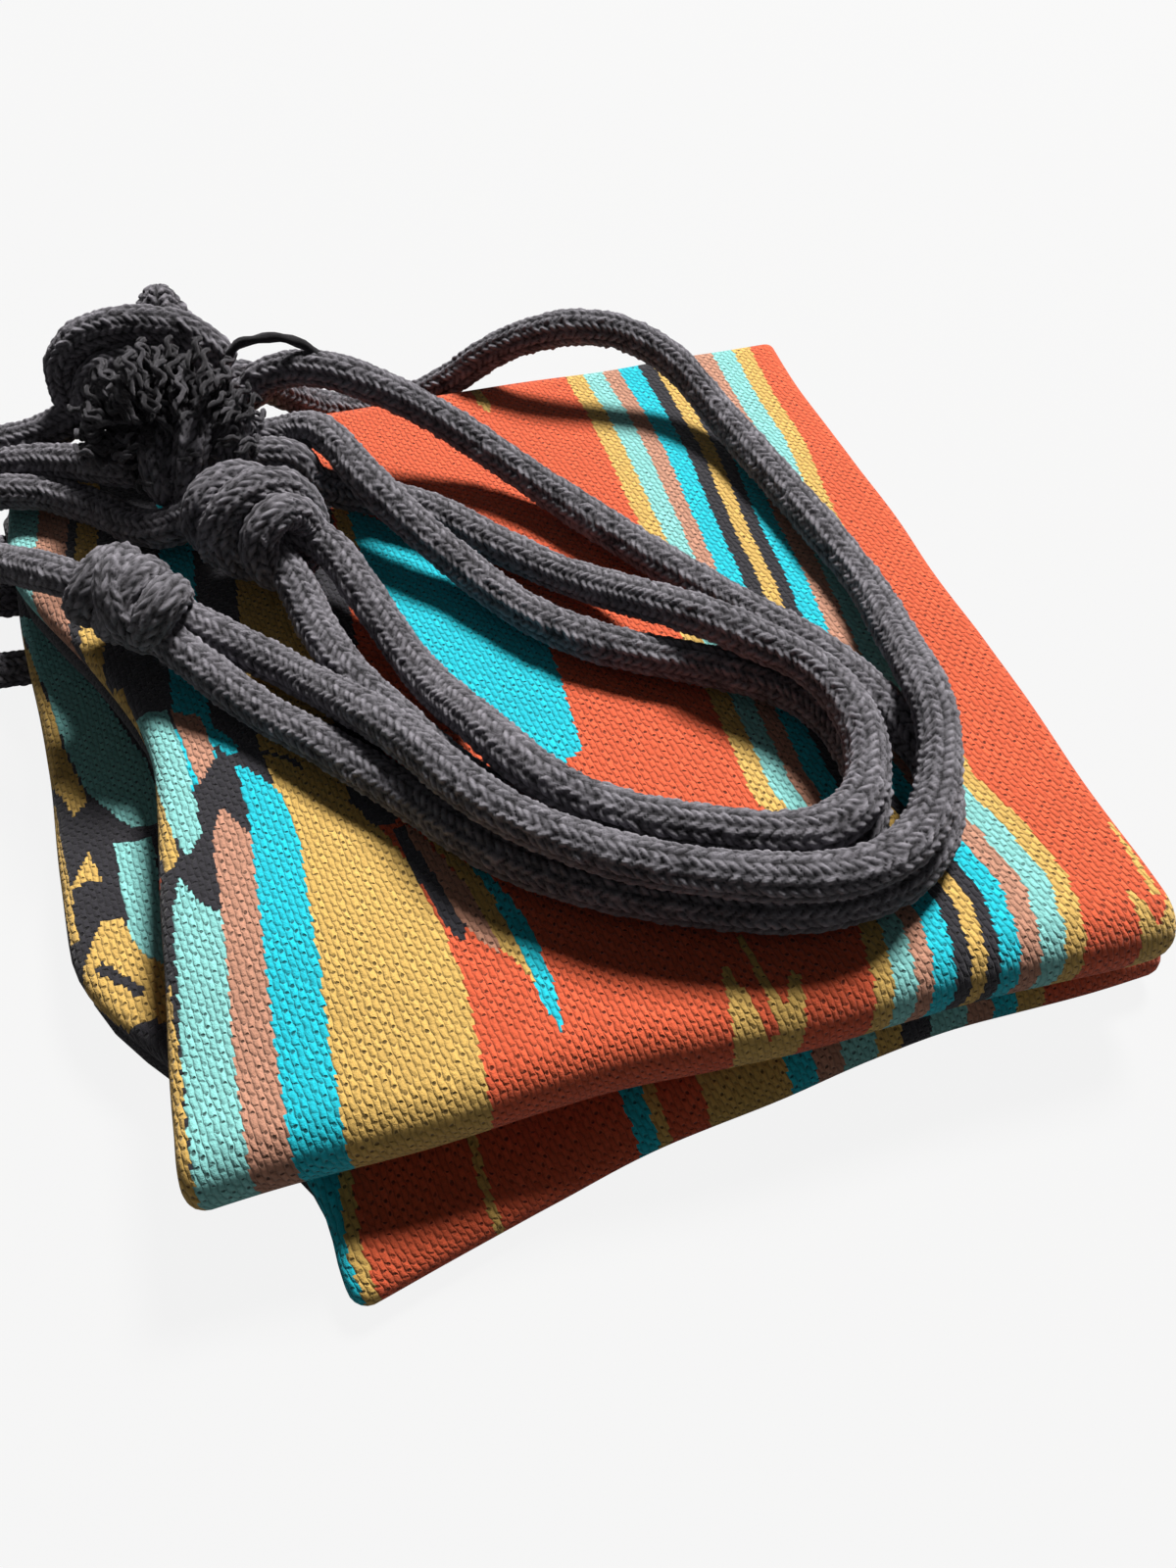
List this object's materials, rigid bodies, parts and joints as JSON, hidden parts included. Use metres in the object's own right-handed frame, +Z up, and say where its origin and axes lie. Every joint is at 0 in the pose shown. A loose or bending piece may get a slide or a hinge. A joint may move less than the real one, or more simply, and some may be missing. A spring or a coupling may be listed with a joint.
{
  "type": "rope hammock",
  "caption": "Striped woven cloth hammock folded into a flat pack, its doubled black rope bridles, knots and leads laid on top and lifting off about the hem.",
  "frame": {"origin": "bottom centre of the folded cloth, on the surface that it lies on", "axes": "+X along the pack's front edge to the right, +Y into its depth, +Z up"},
  "size_m": [0.3402, 0.3248, 0.1005],
  "materials": {
    "cloth": "coarse matte weave in rust, turquoise, mint, brown, mustard and black",
    "rope": "matte black braided cotton"
  },
  "bodies": {
    "pack": {"hammock_cloth": "cloth", "hem_rope_1": "rope", "hem_rope_2": "rope", "hem_rope_3": "rope", "hem_rope_4": "rope"},
    "bridle": {"bridle_1_strand_upper": "rope", "bridle_1_strand_lower": "rope", "bridle_2_strand_right": "rope", "bridle_2_strand_left": "rope", "knot_1": "rope", "knot_2": "rope", "knot_3": "rope", "knot_4": "rope", "lead_rope_1": "rope", "lead_rope_2": "rope", "lead_rope_3": "rope", "lead_rope_4": "rope", "knot_4_frayed_end": "rope", "knot_3_tail": "rope", "knot_3_loop": "rope"}
  },
  "joints": [
    {"name": "bridle_lift", "type": "hinge", "parent": "pack", "child": "bridle", "pos_m": [-0.17627, 0.00838, 0.043], "axis": [0, -1, 0], "range_deg": [0, 120]}
  ]
}
